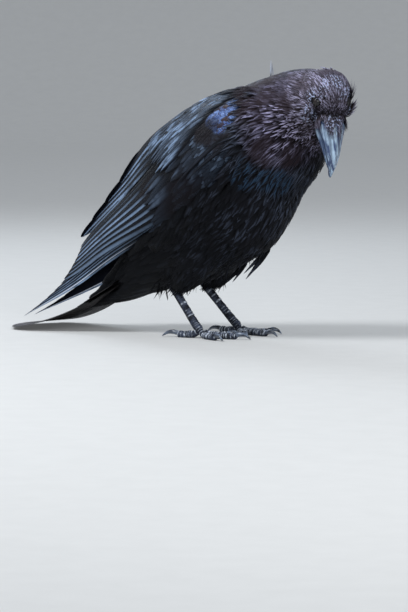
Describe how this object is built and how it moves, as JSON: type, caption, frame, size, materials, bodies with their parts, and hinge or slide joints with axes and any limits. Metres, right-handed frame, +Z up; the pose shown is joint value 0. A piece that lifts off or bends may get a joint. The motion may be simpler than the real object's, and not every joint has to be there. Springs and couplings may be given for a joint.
{
  "type": "raven",
  "caption": "Life-size still raven standing on its own feet, head turned to one side with the bill down, wings folded and the tail laid on the floor.",
  "frame": {"origin": "middle of the bird's bounding box, on the floor that its feet stand on", "axes": "+X the way the body faces, +Y the bird's left, +Z up"},
  "size_m": [0.4918, 0.184, 0.3335],
  "materials": {
    "plumage": "soft glossy black contour feathers with a brown and violet cast",
    "flight_feather": "smooth satin black flight feathers with a navy and blue cast",
    "horn": "polished slate grey bill sheath",
    "eye": "wet dark brown eye",
    "scale": "dark slate scutes with paler edges",
    "claw": "polished dark blue-grey claws"
  },
  "bodies": {
    "root": {"bill_lower": "horn", "bill_upper": "horn", "claw_hind_left": "claw", "claw_hind_right": "claw", "claw_inner_left": "claw", "claw_inner_right": "claw", "claw_middle_left": "claw", "claw_middle_right": "claw", "claw_outer_left": "claw", "claw_outer_right": "claw", "eye_left": "eye", "eye_right": "eye", "head": "plumage", "neck": "plumage", "primaries_left": "flight_feather", "primaries_right": "flight_feather", "secondaries_left": "flight_feather", "secondaries_right": "flight_feather", "tail": "flight_feather", "tarsus_left": "scale", "tarsus_right": "scale", "thigh_left": "plumage", "thigh_right": "plumage", "toe_hind_left": "scale", "toe_hind_right": "scale", "toe_inner_left": "scale", "toe_inner_right": "scale", "toe_middle_left": "scale", "toe_middle_right": "scale", "toe_outer_left": "scale", "toe_outer_right": "scale", "trunk": "plumage", "wing_left": "flight_feather", "wing_right": "flight_feather"}
  },
  "joints": []
}
